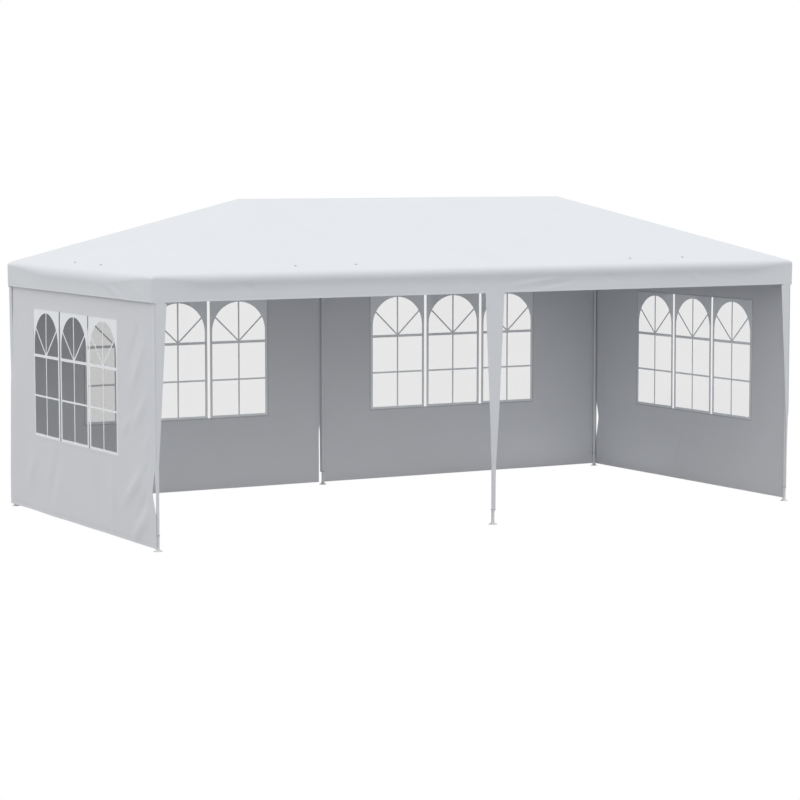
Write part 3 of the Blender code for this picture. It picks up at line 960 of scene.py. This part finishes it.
def weave_group():
    """Woven tape sheet: flat tapes over and under with painted highlight and shade, soft crinkles, faint
    cloudiness.
    """
    group, given, made = new_group(
        "woven_tape_sheet",
        [("Colour", "Color", (0.8, 0.8, 0.8, 1.0)), ("Tape Width", "Float", 0.0022),
         ("Cloudiness", "Float", 0.03), ("Gloss", "Float", 0.45), ("Crinkle", "Float", 0.3)],
        [("Colour", "Color"), ("Roughness", "Float"), ("Height", "Float")],
    )
    place = add_node(group, "TexCoord")
    facing = add_node(group, "SeparateXYZ", {0: place.outputs["Normal"]})
    x, y, z = add_node(group, "SeparateXYZ", {0: place.outputs["Object"]}).outputs
    slope = math(group, "ABSOLUTE", facing.outputs["Z"])
    flat = math(group, "GREATER_THAN", slope, FLAT_SLOPE)
    upright = math(group, "SUBTRACT", 1.0, flat)
    across = math(group, "ADD", x, math(group, "MULTIPLY", y, upright))
    along = math(group, "ADD", math(group, "MULTIPLY", y, flat), math(group, "MULTIPLY", z, upright))
    turns = math(group, "DIVIDE", pi, given.outputs["Tape Width"])
    warp = math(group, "SINE", math(group, "MULTIPLY", across, turns))
    weft = math(group, "SINE", math(group, "MULTIPLY", along, turns))
    away = math(group, "ABSOLUTE", math(group, "SUBTRACT", slope, FLAT_SLOPE))
    near = math(group, "MINIMUM", math(group, "MULTIPLY", away, 5.0), 1.0)
    over = math(group, "MULTIPLY", math(group, "MULTIPLY", warp, weft), near)
    crinkle = add_node(group, "TexNoise", {"Vector": place.outputs["Object"], "Scale": CRINKLES,
                                           "Detail": 3.0, "Roughness": 0.55})
    cloud = add_node(group, "TexNoise", {"Vector": place.outputs["Object"], "Scale": SHEET_CLOUDS,
                                         "Detail": 2.0})
    shade = vary(group, cloud, given.outputs["Cloudiness"], 1.0)
    # The crossing tapes' colour gets a painted highlight where they rise and painted shade where they sink
    shade = math(group, "MULTIPLY_ADD", over, TAPE_PAINTED_LIGHT, shade)
    colour = add_node(group, "VectorMath", {0: given.outputs["Colour"], 1: shade}, operation="MULTIPLY")
    gloss = vary(group, crinkle, SHEET_GLOSS, given.outputs["Gloss"])
    height = math(group, "MULTIPLY_ADD", crinkle.outputs[0], given.outputs["Crinkle"],
                  math(group, "MULTIPLY", over, TAPE_RISE))
    set_inputs(group, made, {"Colour": colour.outputs[0], "Roughness": gloss, "Height": height})
    return group


def grain_group():
    """The faint orange peel and cloudiness of a moulded or powder-coated surface."""
    group, given, made = new_group(
        "fine_grain",
        [("Colour", "Color", (0.8, 0.8, 0.8, 1.0)), ("Scale", "Float", 600.0), ("Gloss", "Float", 0.4),
         ("Variation", "Float", 0.04)],
        [("Colour", "Color"), ("Roughness", "Float"), ("Height", "Float")],
    )
    place = add_node(group, "TexCoord")
    peel = add_node(group, "TexNoise", {"Vector": place.outputs["Object"], "Scale": given.outputs["Scale"],
                                        "Detail": 2.0})
    cloud = add_node(group, "TexNoise", {"Vector": place.outputs["Object"], "Scale": GRAIN_CLOUDS,
                                         "Detail": 3.0})
    shade = vary(group, cloud, given.outputs["Variation"], 1.0)
    colour = add_node(group, "VectorMath", {0: given.outputs["Colour"], 1: shade}, operation="MULTIPLY")
    gloss = vary(group, cloud, GRAIN_GLOSS, given.outputs["Gloss"])
    set_inputs(group, made, {"Colour": colour.outputs[0], "Roughness": gloss, "Height": peel.outputs[0]})
    return group


def finish(name, group, relief, shader_values=(), **values):
    """A material whose colour, roughness and relief come from a group, given its own values."""
    material, tree, shader = new_material(name)
    source = add_node(tree, "Group", node_tree=group)
    set_inputs(tree, source, values)
    colour, roughness, height = source.outputs
    bump = add_node(tree, "Bump", {"Strength": 1.0, "Distance": relief, "Height": height})
    set_inputs(tree, shader, {"Base Color": colour, "Roughness": roughness, "Normal": bump.outputs[0]})
    set_inputs(tree, shader, shader_values)
    return material


def clear_film(grain):
    """See-through film that lets as much light pass as its own attribute says, a little unevenly."""
    material, tree, shader = new_material("clear_film")
    clear = add_node(tree, "Attribute", attribute_name="clear")
    source = add_node(tree, "Group", node_tree=grain)
    set_inputs(tree, source, {"Colour": clear.outputs["Fac"], "Variation": 0.02})
    set_inputs(tree, shader, {"Base Color": source.outputs["Colour"], "Roughness": 0.0, "IOR": 1.0,
                              "Transmission Weight": 1.0, "Coat Weight": 0.2, "Coat Roughness": 0.1})
    return material


def make_finishes():
    """Every finish of the tent, by name."""
    weave, grain = weave_group(), grain_group()
    return {
        "cover": finish("white_cover_sheet", weave, 0.0006, Colour=(0.785, 0.81, 0.85, 1.0)),
        "wall": finish("white_wall_sheet", weave, 0.0006, Colour=(0.770, 0.789, 0.828, 1.0)),
        "film": clear_film(grain),
        "print": finish("white_print", grain, 0.00002, {"Coat Weight": 1.0},
                        Colour=(0.91, 0.94, 0.985, 1.0), Scale=900.0, Gloss=0.35),
        "steel": finish("white_powder_coat", grain, 0.00006, {"Coat Weight": 0.15},
                        Colour=(0.80, 0.81, 0.83, 1.0), Scale=700.0, Gloss=0.38),
        # Eyelets: dark grey, partly the dark elastic knotted in them, partly painted shade of holes not cut
        "eyelet": finish("eyelet_knot_and_painted_hole_shade", grain, 0.00004, Colour=(0.40, 0.41, 0.43, 1.0), Scale=900.0,
                         Gloss=0.45),
        "elastic": finish("grey_elastic", grain, 0.0002, Colour=(0.33, 0.34, 0.36, 1.0), Scale=1500.0,
                          Gloss=0.7),
    }


def dress_frame(steel):
    """Gives the tubes, joints and feet their powder coat."""
    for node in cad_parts.values():
        if not node.hide_render:
            node.data.materials.clear()
            node.data.materials.append(steel)


# Studio

# The camera stands low in front of the open side, to the left, with a long lens
CAMERA_PLACE = (-10.581, -18.697, 2.884)
CAMERA_YAW = radians(29.441)
CAMERA_PITCH = radians(5.348)
CAMERA_LENS = 115.58
SENSOR = 36.0
# The light: an even white sky, a floor that throws up little of it, and strips of light inside the walls
WORLD_STRENGTH = 1.0
FLOOR_SIZE = 60.0
FLOOR_DROP = 0.0005
FLOOR_SHADE = 0.17
FLOOR_GLOW = 0.10
STRIP_GLOW = {"back": 0.136, "left": 0.12, "right": 0.12}
STRIP_WIDTH = 1.0
STRIP_INSET = 0.1
STRIP_HEIGHT = 0.01


def make_camera():
    """The camera at the photograph's viewing angle."""
    data = bpy.data.cameras.new("camera")
    data.lens = CAMERA_LENS
    data.sensor_width = SENSOR
    camera = bpy.data.objects.new("camera", data)
    camera.location = CAMERA_PLACE
    camera.rotation_euler = (pi / 2 - CAMERA_PITCH, 0.0, -CAMERA_YAW)
    bpy.context.scene.collection.objects.link(camera)
    bpy.context.scene.camera = camera


def make_floor():
    """A plain pale floor that the camera sees as white, and that throws a softer light up at the tent."""
    bm = bmesh.new()
    bmesh.ops.create_grid(bm, x_segments=1, y_segments=1, size=FLOOR_SIZE / 2)
    bmesh.ops.translate(bm, verts=bm.verts[:], vec=(0.0, 0.0, -FLOOR_DROP))
    mesh = bpy.data.meshes.new("floor")
    bm.to_mesh(mesh)
    bm.free()
    floor = bpy.data.objects.new("floor", mesh)
    bpy.context.scene.collection.objects.link(floor)
    material, tree, shader = new_material("pale_floor")
    set_inputs(tree, shader, {"Base Color": (FLOOR_SHADE, FLOOR_SHADE, FLOOR_SHADE, 1.0), "Roughness": 0.9,
                              "Specular IOR Level": 0.1, "Emission Color": WHITE,
                              "Emission Strength": FLOOR_GLOW})
    white = add_node(tree, "Emission", {"Color": WHITE, "Strength": 1.0})
    seen = add_node(tree, "LightPath")
    first = math(tree, "LESS_THAN", seen.outputs["Diffuse Depth"], 0.5)
    clean = math(tree, "MAXIMUM", seen.outputs["Is Glossy Ray"], seen.outputs["Is Transmission Ray"])
    plain = math(tree, "MAXIMUM", seen.outputs["Is Camera Ray"], math(tree, "MULTIPLY", clean, first))
    both = add_node(tree, "MixShader", {0: plain, 1: shader.outputs[0], 2: white.outputs[0]})
    tree.links.new(both.outputs[0], tree.nodes["Material Output"].inputs[0])
    mesh.materials.append(material)


def make_light():
    """Soft, even studio light."""
    world = bpy.data.worlds.new("studio")
    world.use_nodes = True
    sky = world.node_tree.nodes["Background"]
    set_inputs(world.node_tree, sky, {"Color": WHITE, "Strength": WORLD_STRENGTH})
    bpy.context.scene.world = world
    bpy.context.scene.view_settings.view_transform = "Standard"
    length, depth = 2 * (HALF_LENGTH - STRIP_INSET), 2 * (HALF_DEPTH - STRIP_INSET)
    add_strip("back", (0.0, (depth - STRIP_WIDTH) / 2), (length, STRIP_WIDTH))
    add_strip("left", ((STRIP_WIDTH - length) / 2, 0.0), (STRIP_WIDTH, depth))
    add_strip("right", ((length - STRIP_WIDTH) / 2, 0.0), (STRIP_WIDTH, depth))


def add_strip(side, place, size):
    """A strip of soft light on the floor that lifts the foot of a wall from inside."""
    light = bpy.data.lights.new(side + "_glow", "AREA")
    light.shape = "RECTANGLE"
    light.size, light.size_y = size
    light.energy = STRIP_GLOW[side] * pi * size[0] * size[1]
    lamp = bpy.data.objects.new(side + "_glow", light)
    lamp.location = (*place, STRIP_HEIGHT)
    lamp.rotation_euler = (pi, 0.0, 0.0)
    lamp.visible_camera = False
    lamp.visible_glossy = False
    bpy.context.scene.collection.objects.link(lamp)


def main():
    """Makes the studio and the tent's sheets and fittings."""
    make_camera()
    make_light()
    make_floor()
    finishes = make_finishes()
    make_canopy(finishes["cover"])
    for name in WALL_AXIS:
        make_wall(name, finishes["wall"])
        film = make_film(name, finishes["film"])
        printed = make_print(name, finishes["print"])
    make_eyelets(finishes["eyelet"])
    make_ties(finishes["elastic"])
    dress_frame(finishes["steel"])


main()
